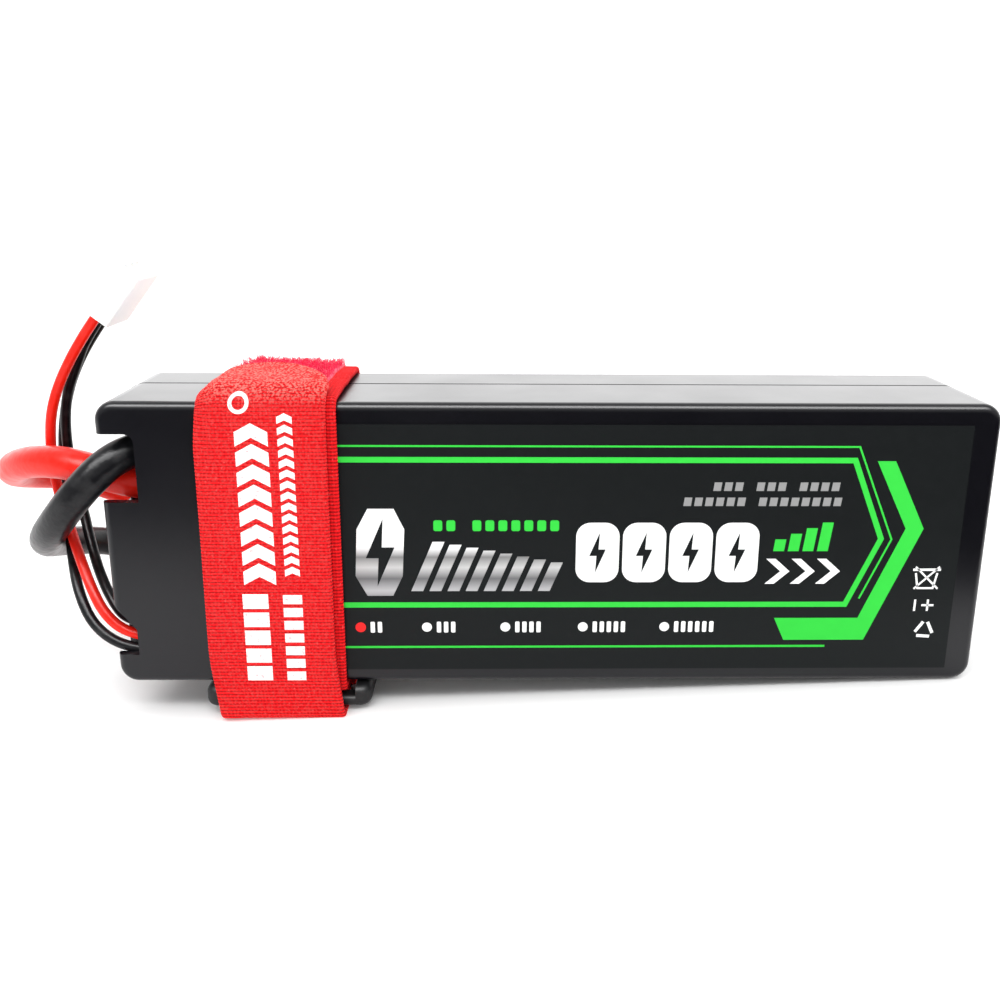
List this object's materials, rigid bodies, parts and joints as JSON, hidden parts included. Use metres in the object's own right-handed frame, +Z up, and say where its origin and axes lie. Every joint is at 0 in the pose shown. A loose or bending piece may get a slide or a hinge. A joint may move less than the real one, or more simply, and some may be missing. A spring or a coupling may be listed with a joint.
{
  "type": "lithium polymer battery pack",
  "caption": "Hard-case lithium polymer pack for remote control models, with thick power leads, a balance plug and a red hook-and-loop strap with a buckle.",
  "frame": {"origin": "centre of the box of the pack and strap without its leads, at its lowest face: the case stands on its long narrow side and the strap and buckle pass under it", "axes": "+X along the pack, away from the lead end; -Y is the labelled face; +Z up"},
  "size_m": [0.1696, 0.0587, 0.0727],
  "materials": {
    "case_plastic": "semi-gloss moulded black",
    "label_film": "printed film, dark grey with green and white",
    "grommet_rubber": "soft matt black",
    "pouch_film": "satin laminated foil",
    "electrode_stack": "dark wound foils",
    "adhesive_sheet": "thin double-sided sheet",
    "foam": "closed-cell foam",
    "aluminium_tab": "satin",
    "nickel_tab": "satin nickel",
    "board_laminate": "green laminate",
    "solder": "bright solder",
    "amber_film": "amber film",
    "black_silicone": "glossy silicone",
    "red_silicone": "glossy silicone",
    "black_wire": "satin silicone",
    "red_wire": "satin silicone",
    "plug_nylon": "moulded nylon",
    "gold_plate": "gold plated",
    "white_nylon": "natural nylon",
    "tin_plate": "tin plated",
    "strap_webbing": "woven webbing with fine cross ribs",
    "strap_pile": "brushed loop pile",
    "strap_hooks": "moulded hook tape",
    "buckle_plastic": "semi-gloss black",
    "strap_thread": "polyester thread"
  },
  "bodies": {
    "pack": {"front_shell": "case_plastic", "rear_shell": "case_plastic", "front_label": "label_film", "lead_grommet": "grommet_rubber", "balance_grommet": "grommet_rubber", "front_cell_pouch": "pouch_film", "rear_cell_pouch": "pouch_film", "front_cell_stack": "electrode_stack", "rear_cell_stack": "electrode_stack", "cell_adhesive_sheet": "adhesive_sheet", "front_foam_pad": "foam", "rear_foam_pad": "foam", "end_foam_block": "foam", "aluminium_tabs": "aluminium_tab", "nickel_tabs": "nickel_tab", "terminal_board": "board_laminate", "solder_joints": "solder", "insulation_sleeve": "amber_film", "negative_lead": "black_silicone", "positive_lead": "red_silicone", "balance_wire_negative": "black_wire", "balance_wire_middle": "black_wire", "balance_wire_positive": "red_wire", "power_plug_housing": "plug_nylon", "power_plug_cap": "plug_nylon", "power_plug_negative_contact": "gold_plate", "power_plug_positive_contact": "gold_plate", "balance_plug_housing": "white_nylon", "balance_plug_contacts": "tin_plate"},
    "strap": {"strap_wrap": "strap_webbing", "strap_loop_pile": "strap_pile", "strap_buckle": "buckle_plastic", "strap_stitches": "strap_thread"},
    "tail": {"strap_tail": "strap_webbing", "strap_hook_patch": "strap_hooks"}
  },
  "joints": [
    {"name": "strap_slide", "type": "slide", "parent": "pack", "child": "strap", "axis": [1, 0, 0], "range_m": [-0.008, 0.09]},
    {"name": "tail_peel", "type": "hinge", "parent": "strap", "child": "tail", "pos_m": [-0.0444, -0.0154, 0.00225], "axis": [1, 0, 0], "range_deg": [0, 90]}
  ]
}
